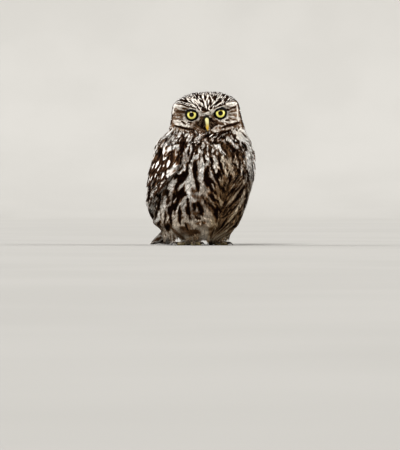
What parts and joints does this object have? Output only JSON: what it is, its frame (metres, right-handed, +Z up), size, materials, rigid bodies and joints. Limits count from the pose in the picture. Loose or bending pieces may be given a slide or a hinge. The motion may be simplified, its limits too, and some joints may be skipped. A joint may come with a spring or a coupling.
{
  "type": "little owl model",
  "caption": "Life-size still model of a little owl standing upright, head turned, with closed wings and a short tail laid on the ground.",
  "frame": {"origin": "on the ground, under the middle of the bird's own box", "axes": "+Z up; the body faces -Y; the bird's left side is at +X; the head is turned to the bird's right"},
  "size_m": [0.126, 0.1572, 0.1791],
  "materials": {
    "head_plumage": "dark brown crown feathers with fine white streaks, pale face",
    "body_plumage": "off-white breast feathers with bold brown streaks",
    "wing_plumage": "dark brown feathers with round white spots",
    "tail_plumage": "brown feathers with pale bars and pale edges",
    "leg_plumage": "cream down-like leg feathers",
    "toe_skin": "scaly olive-grey skin with thin bristle feathers",
    "claw_horn": "dark smooth horn",
    "bill_horn": "yellowish horn, smooth",
    "cere_skin": "dark soft skin",
    "eye": "wet glossy eye, yellow iris and black pupil"
  },
  "bodies": {
    "root": {"bill_lower": "bill_horn", "bill_upper": "bill_horn", "cere": "cere_skin", "claw_left_hind": "claw_horn", "claw_left_inner": "claw_horn", "claw_left_middle": "claw_horn", "claw_left_outer": "claw_horn", "claw_right_hind": "claw_horn", "claw_right_inner": "claw_horn", "claw_right_middle": "claw_horn", "claw_right_outer": "claw_horn", "eye_left": "eye", "eye_right": "eye", "foot_left": "toe_skin", "foot_right": "toe_skin", "head": "head_plumage", "leg_left": "leg_plumage", "leg_right": "leg_plumage", "neck": "body_plumage", "tail": "tail_plumage", "torso": "body_plumage", "wing_left": "wing_plumage", "wing_right": "wing_plumage"}
  },
  "joints": []
}
